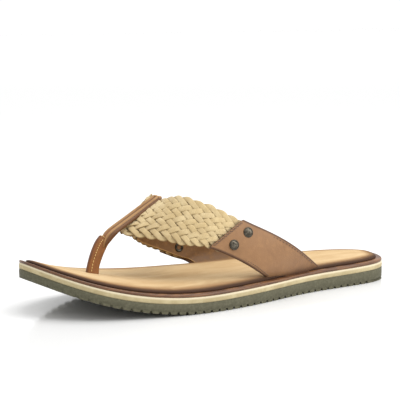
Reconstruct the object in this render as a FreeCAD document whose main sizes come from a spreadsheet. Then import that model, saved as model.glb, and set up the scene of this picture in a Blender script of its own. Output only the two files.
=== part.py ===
import FreeCAD, Part
import math
import os

# A left flip flop: layered sole, leather toe post, and a thong of two flat woven straps with
# leather side patches and a centre strip. Millimetres. +X points to the toes, +Y to the wearer's
# left (the little-toe side), +Z up. The origin is on the ground under the middle of the sole.
# The sole layers are one piece each on the sandal; they are split at the ball of the foot so that
# a hinge can stand in for their bending.

os.makedirs("parts", exist_ok=True)
doc = FreeCAD.newDocument("flip_flop")
Vector = FreeCAD.Vector
Placement = FreeCAD.Placement
Rotation = FreeCAD.Rotation

# ---------------------------------------------------------------- driving dimensions
DIMENSIONS = [
    ("sole_length", 291.0),
    ("sole_width", 110.0),
    ("stack_height", 70.0),
    ("flex_line", 44.0),
    ("heel_rubber", 9.4),
    ("toe_rubber", 5.9),
    ("midsole_thick", 4.3),
    ("board_thick", 2.0),
    ("foam_thick", 1.8),
    ("cover_thick", 1.2),
    ("footbed_inset", 5.0),
    ("toe_spring", 24.4),
    ("spring_start", 24.0),
    ("spring_power", 2.48),
    ("tread_pitch", 6.3),
    ("tread_depth", 1.1),
    ("post_centre_x", 89.8),
    ("post_centre_y", -15.0),
    ("post_width", 4.6),
    ("post_half_depth", 4.1),
    ("post_webbing_thick", 2.0),
    ("stem_depth", 6.4),
    ("stem_width", 2.8),
    ("anchor_radius", 9.0),
    ("anchor_thick", 2.0),
    ("strap_gap", 3.6),
    ("strap_tab_thick", 3.0),
    ("strap_flap_reach", 14.0),
    ("strap_flap_thick", 1.8),
    ("braid_thick", 3.4),
    ("patch_thick", 2.0),
    ("lining_thick", 0.8),
    ("strip_width", 11.0),
    ("strip_thick", 1.4),
    ("strip_ridge", 0.9),
    ("rivet_radius", 3.7),
    ("shank_radius", 1.4),
    ("thread_radius", 0.4),
    ("stitch_pitch", 3.0),
]

sheet = doc.addObject("Spreadsheet::Sheet", "dimensions")
for row, (alias, value) in enumerate(DIMENSIONS, start=1):
    sheet.set(f"A{row}", alias)
    sheet.set(f"B{row}", str(value))
    sheet.setAlias(f"B{row}", alias)
doc.recompute()


def dim(alias):
    return float(sheet.get(alias))


HALF_LENGTH = dim("sole_length") / 2
HALF_WIDTH = dim("sole_width") / 2
FLEX_X = dim("flex_line")
# Heights of the layer faces above the rubber, measured from the rubber's top.
BOARD_BOTTOM = dim("midsole_thick")
BOARD_TOP = BOARD_BOTTOM + dim("board_thick")
FOAM_TOP = BOARD_TOP + dim("foam_thick")
FOOTBED_TOP = FOAM_TOP + dim("cover_thick")
CLEARANCE = 0.1
THREAD_CLEARANCE = 0.05
# Notches in the footbed's edge: room round each strap, and more where its front edge flares.
NOTCH_GROW = 1.5
NOTCH_FRONT = 9.0

# ---------------------------------------------------------------- outline of the sole
# Fractions of the half length and half width, from the heel round by the little-toe side, over
# the toes and back along the big-toe side.
OUTLINE = [
    (-1.000, -0.016), (-0.947, 0.350), (-0.819, 0.535), (-0.638, 0.592), (-0.382, 0.665),
    (-0.111, 0.845), (0.165, 0.980), (0.390, 0.979), (0.600, 0.872), (0.781, 0.691),
    (0.905, 0.410), (0.986, 0.044), (1.000, -0.194), (0.967, -0.421), (0.857, -0.692),
    (0.666, -0.925), (0.447, -0.988), (0.190, -0.885), (-0.101, -0.735), (-0.382, -0.678),
    (-0.648, -0.632), (-0.840, -0.486), (-0.952, -0.283),
]


def closed_spline(points):
    curve = Part.BSplineCurve()
    curve.interpolate(Points=points, PeriodicFlag=True)
    return curve


def outline_curve(inset):
    """Closed outline of the sole, moved in from the edge by inset."""
    knots = [Vector(x * HALF_LENGTH, y * HALF_WIDTH, 0) for x, y in OUTLINE]
    edge = closed_spline(knots)
    moved = []
    for point in knots:
        along = edge.tangent(edge.parameter(point))[0]
        inward = Vector(along.y, -along.x, 0)
        moved.append(point + inward * inset)
    return closed_spline(moved)


def edge_y(x, side):
    """Y of the sole's edge at x, on the side +1 (little toe) or -1 (big toe)."""
    cut = Part.makeLine(Vector(x, 0, 0), Vector(x, side * HALF_WIDTH * 1.5, 0))
    return outline_curve(0).toShape().distToShape(cut)[1][0][0].y


# ---------------------------------------------------------------- side view of the sole
def ground(x):
    """Height of the sole's underside above the floor: flat, then the toe spring."""
    start = dim("spring_start")
    reach = max(0.0, x - start) / (HALF_LENGTH - start)
    return dim("toe_spring") * reach ** dim("spring_power")


def level(x, above_rubber):
    """Height of a layer face that lies above_rubber over the rubber's top."""
    share = (x + HALF_LENGTH) / dim("sole_length")
    rubber = dim("heel_rubber") + (dim("toe_rubber") - dim("heel_rubber")) * share
    return ground(x) + rubber + above_rubber


def slope(x, above_rubber):
    """Angle in degrees of a layer face at x, toes up."""
    rise = level(x + 1, above_rubber) - level(x - 1, above_rubber)
    return math.degrees(math.atan2(rise, 2))


def side_point(x, z):
    return Vector(x, z, 0)


def face_edges(x_start, x_end, above_rubber):
    """Side view of one layer face: a straight run to the toe spring, then a spline."""
    bend = dim("spring_start")
    edges = []
    if x_start < bend:
        edges.append(Part.LineSegment(
            side_point(x_start, level(x_start, above_rubber)),
            side_point(bend, level(bend, above_rubber))))
    first = max(x_start, bend)
    steps = max(3, math.ceil((x_end - first) / 14))
    xs = [first + (x_end - first) * i / steps for i in range(steps + 1)]
    spline = Part.BSplineCurve()
    spline.interpolate([side_point(x, level(x, above_rubber)) for x in xs])
    edges.append(spline)
    return edges


def tread_edges(x_start, x_end):
    """Side view of the underside: cross ribs with a V notch between them, plain at the heel."""
    pitch = dim("tread_pitch")
    notch = pitch / 3
    first_rib = -HALF_LENGTH + 30
    points = [side_point(x_start, ground(x_start))]
    x = first_rib
    while x + notch < x_end - 1:
        if x > x_start + 1:
            points.append(side_point(x, ground(x)))
            points.append(side_point(x + notch / 2, ground(x + notch / 2) + dim("tread_depth")))
            points.append(side_point(x + notch, ground(x + notch)))
        x += pitch
    points.append(side_point(x_end, ground(x_end)))
    return [Part.LineSegment(a, b) for a, b in zip(points, points[1:])]


def ends(edges):
    return edges[0].StartPoint, edges[-1].EndPoint


def add_sketch(name, geometry, placement):
    sketch = doc.addObject("Sketcher::SketchObject", name)
    sketch.addGeometry(geometry, False)
    sketch.Placement = placement
    return sketch


def add_prism(name, sketch, length_expression, symmetric):
    prism = doc.addObject("Part::Extrusion", name)
    prism.Base = sketch
    prism.DirMode = "Normal"
    prism.Solid = True
    prism.Symmetric = symmetric
    prism.setExpression("LengthFwd", length_expression)
    return prism


FLAT = Placement()
SIDE_VIEW = Placement(Vector(0, 0, 0), Rotation(Vector(1, 0, 0), 90))


def add_outline_prism(name, inset):
    sketch = add_sketch(f"{name}_outline", [outline_curve(inset)], FLAT)
    return add_prism(name, sketch, "dimensions.stack_height", False)


def add_slab(name, lower, upper):
    """Slab across the sole between two side-view faces, each a list of edges from heel to toe."""
    lower_start, lower_end = ends(lower)
    upper_start, upper_end = ends(upper)
    closing = [Part.LineSegment(lower_end, upper_end), Part.LineSegment(upper_start, lower_start)]
    sketch = add_sketch(f"{name}_side", lower + upper + closing, SIDE_VIEW)
    return add_prism(name, sketch, "dimensions.sole_width * 1.2", True)


def add_boolean(kind, label, base, tool):
    made = doc.addObject(kind, label)
    made.Label = label
    made.Base = base
    made.Tool = tool
    return made


def add_tools(label, tools):
    """Several cutting shapes as one."""
    if len(tools) == 1:
        return tools[0]
    group = doc.addObject("Part::MultiFuse", label)
    group.Shapes = tools
    return group


sole_prism = add_outline_prism("sole_prism", 0)
cover_prism = add_outline_prism("cover_prism", dim("footbed_inset"))
foam_prism = add_outline_prism("foam_prism", dim("footbed_inset") + dim("cover_thick"))

# ---------------------------------------------------------------- strap slots and tabs
# Where each thong end enters the sole: rear and front x of its lower edge.
STRAP_FOOT = {"lateral": (-72.0, -19.0), "medial": (-50.0, -7.0)}
SIDE_SIGN = {"lateral": 1, "medial": -1}


def strap_foot_line(side):
    """Rear and front ends of the strap's outer face in plan, along the sole's edge."""
    sign = SIDE_SIGN[side]
    rear_x, front_x = STRAP_FOOT[side]
    rear = Vector(rear_x, edge_y(rear_x, sign) - sign * dim("strap_gap"), 0)
    front = Vector(front_x, edge_y(front_x, sign) - sign * dim("strap_gap"), 0)
    return rear, front


def add_strap_box(name, side, grow, reach, z_low, z_high, front_extra=0.0):
    """Upright box under the strap: reach inward from the outer face, grown by grow all round."""
    rear, front = strap_foot_line(side)
    sign = SIDE_SIGN[side]
    heading = math.degrees(math.atan2(front.y - rear.y, front.x - rear.x))
    box = doc.addObject("Part::Box", name)
    box.Length = rear.distanceToPoint(front) + 2 * grow + front_extra
    box.Width = reach + 2 * grow
    box.Height = z_high - z_low
    inward_start = -grow if sign < 0 else -reach - grow
    turn = Rotation(Vector(0, 0, 1), heading)
    corner = rear + turn.multVec(Vector(-grow, inward_start, 0))
    box.Placement = Placement(Vector(corner.x, corner.y, z_low), turn)
    return box


def add_strap_tab(side):
    """End of the strap: down through the board's slot, then folded flat on the midsole."""
    rear, front = strap_foot_line(side)
    seat = min(level(front.x, BOARD_BOTTOM), level(rear.x, BOARD_BOTTOM)) - 2.0
    slot_top = min(level(front.x, BOARD_TOP), level(rear.x, BOARD_TOP))
    upright = add_strap_box(f"{side}_tab_upright", side, 0, dim("strap_tab_thick"), seat, slot_top)
    flap = add_strap_box(
        f"{side}_tab_flap", side, 0, dim("strap_flap_reach"), seat,
        seat + dim("strap_flap_thick"))
    tab = add_boolean("Part::Fuse", f"{side}_strap_tab", upright, flap)
    recess = add_strap_box(
        f"{side}_recess", side, CLEARANCE, dim("strap_flap_reach"), seat, slot_top - 1)
    slot = add_strap_box(
        f"{side}_slot", side, 2 * CLEARANCE, dim("strap_tab_thick"), seat, slot_top + 20)
    notch = add_strap_box(
        f"{side}_notch", side, NOTCH_GROW, dim("strap_tab_thick") + 1.5, slot_top - 2,
        slot_top + 20, NOTCH_FRONT)
    return tab, recess, slot, notch


strap_tabs = {}
recesses = []
slots = []
notches = []
for side_name in STRAP_FOOT:
    tab, recess, slot, notch = add_strap_tab(side_name)
    strap_tabs[side_name] = tab
    recesses.append(recess)
    slots.append(slot)
    notches.append(notch)

# ---------------------------------------------------------------- toe post through the sole
POST_X = dim("post_centre_x")
POST_Y = dim("post_centre_y")


def add_tilted_box(name, grow, z_low, z_high):
    """Box square to the sole at the post, between two heights above the rubber's top."""
    tilt = Rotation(Vector(0, 1, 0), -slope(POST_X, 0))
    depth = dim("stem_depth") + 2 * grow
    width = dim("stem_width") + 2 * grow
    box = doc.addObject("Part::Box", name)
    box.Length = depth
    box.Width = width
    box.Height = z_high - z_low
    corner = tilt.multVec(Vector(-depth / 2, -width / 2, z_low))
    box.Placement = Placement(Vector(POST_X, POST_Y, level(POST_X, 0)) + corner, tilt)
    return box


def add_anchor_disc(name, grow):
    """Disc let into the top of the rubber, square to the sole."""
    tilt = Rotation(Vector(0, 1, 0), -slope(POST_X, 0))
    disc = doc.addObject("Part::Cylinder", name)
    disc.setExpression("Radius", f"dimensions.anchor_radius + {grow}")
    disc.Height = dim("anchor_thick") + 4 * grow
    sink = tilt.multVec(Vector(0, 0, -dim("anchor_thick") - CLEARANCE))
    disc.Placement = Placement(Vector(POST_X, POST_Y, level(POST_X, 0)) + sink, tilt)
    return disc


post_anchor = add_anchor_disc("post_anchor", 0)
post_anchor.Label = "post_anchor"
anchor_recess = add_anchor_disc("anchor_recess", CLEARANCE)
post_stem = add_tilted_box("post_stem", 0, 0.05, FOOTBED_TOP)
post_stem.Label = "post_stem"
stem_hole = add_tilted_box("stem_hole", 2 * CLEARANCE, -0.5, FOOTBED_TOP + 4)

# ---------------------------------------------------------------- sole layers, rear and front
HALVES = {"rear": (-HALF_LENGTH - 4, FLEX_X), "front": (FLEX_X, HALF_LENGTH + 4)}


def add_layer(node, prism, lower, upper, cuts):
    slab = add_slab(f"{node}_slab", lower, upper)
    if not cuts:
        return add_boolean("Part::Common", node, prism, slab)
    whole = add_boolean("Part::Common", f"{node}_whole", prism, slab)
    return add_boolean("Part::Cut", node, whole, add_tools(f"{node}_cuts", cuts))


nodes = []
for half, (x_start, x_end) in HALVES.items():
    rear = half == "rear"
    rubber_top = face_edges(x_start, x_end, 0)
    nodes.append(add_layer(
        f"outsole_{half}", sole_prism, tread_edges(x_start, x_end), rubber_top,
        [] if rear else [anchor_recess]))
    nodes.append(add_layer(
        f"midsole_{half}", sole_prism, face_edges(x_start, x_end, 0),
        face_edges(x_start, x_end, BOARD_BOTTOM), recesses if rear else [stem_hole]))
    nodes.append(add_layer(
        f"insole_board_{half}", sole_prism, face_edges(x_start, x_end, BOARD_BOTTOM),
        face_edges(x_start, x_end, BOARD_TOP), slots if rear else [stem_hole]))
    foam = add_layer(
        f"footbed_foam_{half}", foam_prism, face_edges(x_start, x_end, BOARD_TOP),
        face_edges(x_start, x_end, FOAM_TOP), notches if rear else [stem_hole])
    nodes.append(foam)
    hollow = add_boolean(
        "Part::Common", f"cover_hollow_{half}", foam_prism, foam.Base.Tool)
    nodes.append(add_layer(
        f"footbed_cover_{half}", cover_prism, face_edges(x_start, x_end, BOARD_TOP),
        face_edges(x_start, x_end, FOOTBED_TOP), [hollow] + (notches if rear else [stem_hole])))

nodes.extend(strap_tabs.values())
nodes.extend([post_stem, post_anchor])


# ---------------------------------------------------------------- toe post above the footbed
def add_post_body(label, inset, thickness_expression):
    """Side view of the post: a round foot, so that it can lean, and a sloping top."""
    radius = dim("post_half_depth") - inset
    foot_z = level(POST_X, FOOTBED_TOP) + (dim("post_half_depth") + 0.5)
    rear_foot = side_point(POST_X - radius, foot_z)
    front_foot = side_point(POST_X + radius, foot_z)
    lowest = side_point(POST_X, foot_z - radius)
    front_bend = side_point(POST_X + radius - 3.0, foot_z + 12)
    front_top = side_point(POST_X - 4.4 - inset, foot_z + 20.2 - inset)
    rear_top = side_point(POST_X - 10.8 + inset, foot_z + 13.0 - inset)
    rear_bend = side_point(POST_X - radius - 1.8, foot_z + 6)
    front = Part.BSplineCurve()
    front.interpolate([front_foot, front_bend, front_top])
    back = Part.BSplineCurve()
    back.interpolate([rear_top, rear_bend, rear_foot])
    body = doc.addObject("PartDesign::Body", label)
    body.Label = label
    sketch = body.newObject("Sketcher::SketchObject", f"{label}_side")
    xz_plane = next(f for f in body.Origin.OriginFeatures if f.Role == "XZ_Plane")
    sketch.AttachmentSupport = (xz_plane, "")
    sketch.MapMode = "FlatFace"
    sketch.addGeometry(
        [Part.Arc(rear_foot, lowest, front_foot), front, Part.LineSegment(front_top, rear_top),
         back], False)
    pad = body.newObject("PartDesign::Pad", f"{label}_pad")
    pad.Profile = sketch
    pad.Midplane = True
    pad.setExpression("Length", thickness_expression)
    body.Tip = pad
    body.Placement = Placement(Vector(0, POST_Y, 0), Rotation())
    return body


post_block = add_post_body("post_block", 0, "dimensions.post_width")
post_webbing = add_post_body("post_webbing", 1.3, "dimensions.post_webbing_thick")
post_leather = add_boolean("Part::Cut", "post_leather", post_block, post_webbing)
nodes.extend([post_leather, post_webbing])


# ---------------------------------------------------------------- thong surfaces
# Outer edges of each strap, from under the centre strip down to the sole: (front, rear) pairs.
def strap_stations(side):
    rear, front = strap_foot_line(side)
    foot_front = (front.x, front.y, level(front.x, BOARD_TOP) + 0.8)
    foot_rear = (rear.x, rear.y, level(rear.x, BOARD_TOP) + 0.8)
    if side == "lateral":
        return [
            ((70.8, -13.6, 47.8), (39.8, -13.2, 68.5)),
            ((55.8, 7, 45.5), (34.3, 5, 74)),
            ((45.8, 20, 43.5), (25.8, 18, 72)),
            ((37.8, 28, 42), (13.8, 28, 66)),
            ((25.3, 34, 40.6), (-1.2, 34, 57)),
            ((2.8, 39.5, 30), (-21.2, 38.5, 47)),
            ((-10.6, 42, 21.5), (-44.2, 38.5, 34.2)),
            (foot_front, foot_rear),
        ]
    return [
        ((69.8, -14.6, 47.6), (39.3, -14.4, 68.5)),
        ((56.8, -23, 43), (36.8, -21, 71.5)),
        ((47.8, -30, 38), (29.8, -29, 68)),
        ((36.8, -35.5, 33), (15.8, -36, 59)),
        ((21.8, -38, 27), (-4.2, -39.5, 45)),
        ((8.8, -38.7, 21.5), (-21.2, -40, 36)),
        ((0.8, -38, 18.3), (-37.2, -38, 25)),
        (foot_front, foot_rear),
    ]


PATCH_START = 4.0
TUCK_END = 5.2
LAST_STATION = 7.0
LINING_START = 1.6
LINING_CLOSED = 6.6
SECTIONS_PER_STATION = 5
RIVET_STATION = 4.47
RIVET_WIDTHS = (0.28, 0.75)


def through_points(points):
    curve = Part.BSplineCurve()
    curve.interpolate(Points=[Vector(*p) for p in points],
                      Parameters=[float(i) for i in range(len(points))])
    return curve


def make_surface(side):
    stations = strap_stations(side)
    return through_points([s[0] for s in stations]), through_points([s[1] for s in stations])


surfaces = {side: make_surface(side) for side in STRAP_FOOT}


def strap_point(side, station, across, depth):
    """Point at a station, a share across from front to rear edge, and depth under the face."""
    front_curve, rear_curve = surfaces[side]
    front = front_curve.value(station)
    rear = rear_curve.value(station)
    along = (front_curve.tangent(station)[0] + rear_curve.tangent(station)[0]).normalize()
    outward = along.cross(rear - front).normalize() * SIDE_SIGN[side]
    return front + (rear - front) * across - outward * depth, outward


def band(side, start, end, top_depth, bottom_depth, front_inset, rear_inset):
    """Solid strip of the strap between two stations and two depths, given as functions."""
    steps = max(4, math.ceil((end - start) * SECTIONS_PER_STATION))
    wires = []
    for i in range(steps + 1):
        station = start + (end - start) * i / steps
        front_curve, rear_curve = surfaces[side]
        width = front_curve.value(station).distanceToPoint(rear_curve.value(station))
        low = front_inset / width
        high = 1 - rear_inset / width
        corners = [
            strap_point(side, station, low, top_depth(station))[0],
            strap_point(side, station, high, top_depth(station))[0],
            strap_point(side, station, high, bottom_depth(station))[0],
            strap_point(side, station, low, bottom_depth(station))[0],
        ]
        wires.append(Part.makePolygon(corners + corners[:1]))
    return Part.makeLoft(wires, True, False)


GAP = 0.35
BRAID = dim("braid_thick")
PATCH = dim("patch_thick")
LINING = dim("lining_thick")


def blend(station, start, end, before, after):
    share = min(1.0, max(0.0, (station - start) / (end - start)))
    return before + (after - before) * share


def lining_top(station):
    """The lining closes up to the patch once the braid's tucked end stops."""
    return blend(station, TUCK_END, LINING_CLOSED, BRAID + GAP, PATCH + GAP)


def rivet_axis(side, across):
    return strap_point(side, RIVET_STATION, across, 0)


def rivet_holes(side):
    drills = []
    for across in RIVET_WIDTHS:
        point, outward = rivet_axis(side, across)
        radius = dim("shank_radius") + CLEARANCE
        drills.append(Part.makeCylinder(radius, 16, point + outward * 8, outward * -1))
    return Part.makeCompound(drills)


def add_feature(label, shape):
    feature = doc.addObject("Part::Feature", label)
    feature.Label = label
    feature.Shape = shape
    return feature


def add_woven_strap(side):
    """Flat braid, thinned where its end is tucked under the side patch."""
    open_part = band(
        side, 0, PATCH_START - 0.02, lambda s: 0.0, lambda s: BRAID, 0, 0)
    tucked = band(
        side, PATCH_START - 0.02, TUCK_END - 0.05, lambda s: PATCH + GAP, lambda s: BRAID,
        1.0, 1.0)
    shape = open_part.fuse(tucked).cut(rivet_holes(side)).removeSplitter()
    return add_feature(f"{side}_woven_strap", shape)


def add_side_patch(side):
    shape = band(
        side, PATCH_START, LAST_STATION, lambda s: 0.0, lambda s: PATCH, 0, 0)
    return add_feature(f"{side}_side_patch", shape.cut(rivet_holes(side)))


def add_strap_lining(side):
    shape = band(
        side, LINING_START, LAST_STATION, lining_top, lambda s: lining_top(s) + LINING, 1.5, 1.5)
    return add_feature(f"{side}_strap_lining", shape.cut(rivet_holes(side)))


# ---------------------------------------------------------------- rivets
def turned(profile, axis_point, direction):
    """Solid of revolution from (radius, height) points, set on the strap with +Z outward."""
    points = [Vector(r, 0, z) for r, z in profile]
    wire = Part.makePolygon(points + points[:1])
    solid = Part.Face(wire).revolve(Vector(0, 0, 0), Vector(0, 0, 1), 360)
    solid.Placement = Placement(axis_point, Rotation(Vector(0, 0, 1), direction))
    return solid


def add_rivet_caps(side):
    radius = dim("rivet_radius")
    shank = dim("shank_radius")
    length = BRAID + GAP + LINING + 0.9
    profile = [
        (0, 1.7), (radius * 0.45, 1.55), (radius * 0.8, 1.05), (radius, 0.45), (radius, 0.05),
        (shank, 0.05), (shank, -length), (0, -length),
    ]
    caps = [turned(profile, *rivet_axis(side, across)) for across in RIVET_WIDTHS]
    return add_feature(f"{side}_rivet_caps", Part.makeCompound(caps))


def add_rivet_backs(side):
    """Tubular backs: a ring round the shank, against the lining."""
    radius = dim("rivet_radius")
    shank = dim("shank_radius") + CLEARANCE
    seat = BRAID + GAP + LINING + 0.2
    profile = [
        (shank, -seat), (radius, -seat), (radius, -seat - 0.5), (radius * 0.7, -seat - 1.1),
        (shank, -seat - 1.1),
    ]
    backs = [turned(profile, *rivet_axis(side, across)) for across in RIVET_WIDTHS]
    return add_feature(f"{side}_rivet_backs", Part.makeCompound(backs))


# ---------------------------------------------------------------- stitching
def stitch_row(side, start, end):
    """Short thread cylinders lying on the leather from one (station, across) to another."""
    samples = [strap_point(side, *place_between(start, end, i / 20), 0)[0] for i in range(21)]
    length = sum(a.distanceToPoint(b) for a, b in zip(samples, samples[1:]))
    count = int(length / dim("stitch_pitch"))
    radius = dim("thread_radius")
    threads = []
    for i in range(count):
        first = place_between(start, end, (i + 0.2) / count)
        last = place_between(start, end, (i + 0.8) / count)
        above = -(radius + THREAD_CLEARANCE)
        a = strap_point(side, *first, above)[0]
        b = strap_point(side, *last, above)[0]
        threads.append(Part.makeCylinder(radius, a.distanceToPoint(b), a, b - a))
    return threads


def place_between(start, end, share):
    return [a + (b - a) * share for a, b in zip(start, end)]


def add_patch_stitching(side):
    edge = PATCH_START + 0.12
    rows = stitch_row(side, (edge, 0.05), (edge, 0.95))
    rows += stitch_row(side, (edge + 0.2, 0.94), (LAST_STATION - 0.4, 0.95))
    rows += stitch_row(side, (edge + 0.2, 0.06), (LAST_STATION - 0.4, 0.06))
    return add_feature(f"{side}_patch_stitching", Part.makeCompound(rows))


for side_name in STRAP_FOOT:
    nodes.append(add_woven_strap(side_name))
    nodes.append(add_strap_lining(side_name))
    nodes.append(add_side_patch(side_name))
    nodes.append(add_rivet_caps(side_name))
    nodes.append(add_rivet_backs(side_name))
    nodes.append(add_patch_stitching(side_name))

# ---------------------------------------------------------------- centre strip
STRIP_LIFT = 0.9
STRIP_LINE = [(80.3, -14.5, 44.2), (67.8, -14.3, 52.8), (53.8, -14.0, 62.2), (40.8, -13.6, 70.8)]


def strip_frame(index):
    """Centre of the strip's underside at a point of its line, with its across and up axes."""
    here = Vector(*STRIP_LINE[index])
    before = Vector(*STRIP_LINE[max(0, index - 1)])
    after = Vector(*STRIP_LINE[min(len(STRIP_LINE) - 1, index + 1)])
    along = (after - before).normalize()
    across = Vector(0, 1, 0)
    up = across.cross(along) * -1 if across.cross(along).z < 0 else across.cross(along)
    total = dim("strip_thick") + dim("strip_ridge") - STRIP_LIFT
    return here - up * total, across, up


def strip_section(index):
    """Flat strip with two raised ridges and a channel between them."""
    base, across, up = strip_frame(index)
    half = dim("strip_width") / 2
    flat = dim("strip_thick")
    ridge = flat + dim("strip_ridge")
    profile = [
        (-half, 0), (half, 0), (half, flat), (half * 0.8, flat), (half * 0.68, ridge),
        (half * 0.3, ridge), (half * 0.16, flat), (-half * 0.16, flat), (-half * 0.3, ridge),
        (-half * 0.68, ridge), (-half * 0.8, flat), (-half, flat),
    ]
    points = [base + across * a + up * b for a, b in profile]
    return Part.makePolygon(points + points[:1])


sections = [strip_section(i) for i in range(len(STRIP_LINE))]
centre_strip = add_feature("centre_strip", Part.makeLoft(sections, True, True))
nodes.append(centre_strip)


def add_strip_stitching():
    """Thread along both edges of the strip, outside the ridges."""
    radius = dim("thread_radius")
    offset = dim("strip_width") / 2 * 0.9
    lift = dim("strip_thick") + radius + THREAD_CLEARANCE
    threads = []
    for index in range(len(STRIP_LINE) - 1):
        start, across, up_start = strip_frame(index)
        stop, _, up_stop = strip_frame(index + 1)
        run = stop - start
        count = int(run.Length / dim("stitch_pitch"))
        for side in (-offset, offset):
            for i in range(count):
                up = (up_start + (up_stop - up_start) * (i / count)).normalize()
                begin = start + run * ((i + 0.2) / count) + across * side + up * lift
                threads.append(Part.makeCylinder(radius, run.Length * 0.6 / count, begin, run))
    return add_feature("centre_strip_stitching", Part.makeCompound(threads))


nodes.append(add_strip_stitching())


def add_post_stitching():
    """Thread down both faces of the post, near its front edge."""
    radius = dim("thread_radius")
    foot_z = level(POST_X, FOOTBED_TOP) + dim("post_half_depth") + 1.5
    low = Vector(POST_X + 2.0, 0, foot_z)
    high = Vector(POST_X - 4.0, 0, foot_z + 16)
    run = high - low
    count = int(run.Length / dim("stitch_pitch"))
    threads = []
    for side in (-1, 1):
        face = POST_Y + side * (dim("post_width") / 2 + radius + THREAD_CLEARANCE)
        for i in range(count):
            begin = low + run * ((i + 0.2) / count) + Vector(0, face, 0)
            threads.append(Part.makeCylinder(radius, run.Length * 0.6 / count, begin, run))
    return add_feature("post_stitching", Part.makeCompound(threads))


nodes.append(add_post_stitching())

# ---------------------------------------------------------------- check and export
doc.recompute()
for item in doc.Objects:
    if "Invalid" in item.State or "Error" in item.State:
        raise RuntimeError(f"{item.Name} failed: {item.State}")
for node in nodes:
    if node.Shape.isNull() or not node.Shape.isValid() or not node.Shape.Solids:
        raise RuntimeError(f"{node.Label} has no valid solid")
for node in nodes:
    node.Shape.exportStep(f"parts/{node.Label}.step")
    box = node.Shape.BoundBox
    print(
        f"{node.Label}: {len(node.Shape.Solids)} solids, {node.Shape.Volume:.0f} mm3, "
        f"x {box.XMin:.1f}..{box.XMax:.1f} y {box.YMin:.1f}..{box.YMax:.1f} "
        f"z {box.ZMin:.1f}..{box.ZMax:.1f}")
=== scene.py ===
"""A left flip flop: layered sole, leather toe post, and a thong of two flat braided straps with
leather side patches, rivets and a ridged centre strip. Metres; +X toes, +Y little-toe side."""

import math

import bpy
import numpy as np
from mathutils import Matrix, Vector


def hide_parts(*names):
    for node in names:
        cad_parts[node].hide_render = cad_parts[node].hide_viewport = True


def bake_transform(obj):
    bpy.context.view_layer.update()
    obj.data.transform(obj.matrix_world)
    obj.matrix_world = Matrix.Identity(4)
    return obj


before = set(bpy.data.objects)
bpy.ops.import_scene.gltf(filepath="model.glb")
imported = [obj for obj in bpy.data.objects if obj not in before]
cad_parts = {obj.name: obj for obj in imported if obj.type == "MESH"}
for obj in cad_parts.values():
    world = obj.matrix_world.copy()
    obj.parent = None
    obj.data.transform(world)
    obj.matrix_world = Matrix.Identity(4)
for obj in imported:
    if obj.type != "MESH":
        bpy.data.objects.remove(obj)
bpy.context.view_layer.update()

MM = 0.001


# ---------------------------------------------------------------- curves and meshes
def spline(knots, at):
    """Smooth curve through knots that stand at 0, 1, 2 and so on: its points at the given places."""
    knots = np.asarray(knots, float)
    count = len(knots)
    system = np.eye(count)
    right = np.zeros_like(knots)
    for i in range(1, count - 1):
        system[i, i - 1:i + 2] = 1, 4, 1
        right[i] = 6 * (knots[i + 1] - 2 * knots[i] + knots[i - 1])
    bend = np.linalg.solve(system, right)
    at = np.clip(np.atleast_1d(at).astype(float), 0, count - 1)
    i = np.minimum(at.astype(int), count - 2)
    t = (at - i)[:, None]
    s = 1 - t
    return s * knots[i] + t * knots[i + 1] + ((s ** 3 - s) * bend[i] + (t ** 3 - t) * bend[i + 1]) / 6


def unit(v):
    return v / np.maximum(np.linalg.norm(v, axis=-1, keepdims=True), 1e-12)


def smooth_step(x, low, high):
    t = np.clip((x - low) / (high - low), 0, 1)
    return t * t * (3 - 2 * t)


class Builder:
    """Collects vertices in millimetres, faces and named values per vertex, and makes the object."""

    def __init__(self, *marks):
        self.points, self.faces = [], []
        self.marks = {m: [] for m in marks}
        self.count = 0

    def loft(self, loops, caps=True, **marks):
        """Skin over closed loops of points, capped at both ends unless caps is off."""
        loops = np.asarray(loops, float)
        rows, cols = loops.shape[:2]
        base = self.count
        self.points.append(loops.reshape(-1, 3))
        for name, store in self.marks.items():
            value = np.broadcast_to(marks.get(name, 0.0), (rows, cols))
            store.append(value.reshape(-1))
        self.count += rows * cols
        for r in range(rows - 1):
            for c in range(cols):
                a = base + r * cols + c
                b = base + r * cols + (c + 1) % cols
                self.faces.append((a, b, b + cols, a + cols))
        if caps:
            self.faces.append(tuple(base + c for c in reversed(range(cols))))
            self.faces.append(tuple(base + (rows - 1) * cols + c for c in range(cols)))

    def make(self, name, finish, slot, smooth=True):
        mesh = bpy.data.meshes.new(name)
        mesh.from_pydata(np.concatenate(self.points) * MM, [], self.faces)
        for mark, store in self.marks.items():
            layer = mesh.attributes.new(mark, "FLOAT", "POINT")
            layer.data.foreach_set("value", np.concatenate(store).astype(np.float32))
        mesh.validate()
        mesh.materials.append(finish)
        if smooth:
            mesh.shade_smooth()
        obj = bpy.data.objects.new(name, mesh)
        bpy.context.scene.collection.objects.link(obj)
        return obj


def fix_normals(obj):
    """Turns every face of a closed piece outward."""
    bpy.context.view_layer.objects.active = obj
    obj.select_set(True)
    bpy.ops.object.mode_set(mode="EDIT")
    bpy.ops.mesh.select_all(action="SELECT")
    bpy.ops.mesh.normals_make_consistent(inside=False)
    bpy.ops.object.mode_set(mode="OBJECT")
    obj.select_set(False)
    return obj


# ---------------------------------------------------------------- finishes
def colour(red, green, blue):
    """A display colour, 0 to 255, as the linear one that shaders use."""
    return tuple((c / 255 / 12.92) if c < 10 else ((c / 255 + 0.055) / 1.055) ** 2.4
                 for c in (red, green, blue)) + (1.0,)


class Wire:
    """A shader socket that takes part in arithmetic: each operator adds its Math node."""

    def __init__(self, finish, socket):
        self.finish, self.socket = finish, socket

    def math(self, operation, *values):
        return self.finish.node("ShaderNodeMath", {"operation": operation}, dict(enumerate(values)))

    def __add__(self, other):
        return self.math("ADD", self, other)

    def __mul__(self, other):
        return self.math("MULTIPLY", self, other)

    __radd__ = __add__
    __rmul__ = __mul__


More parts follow.
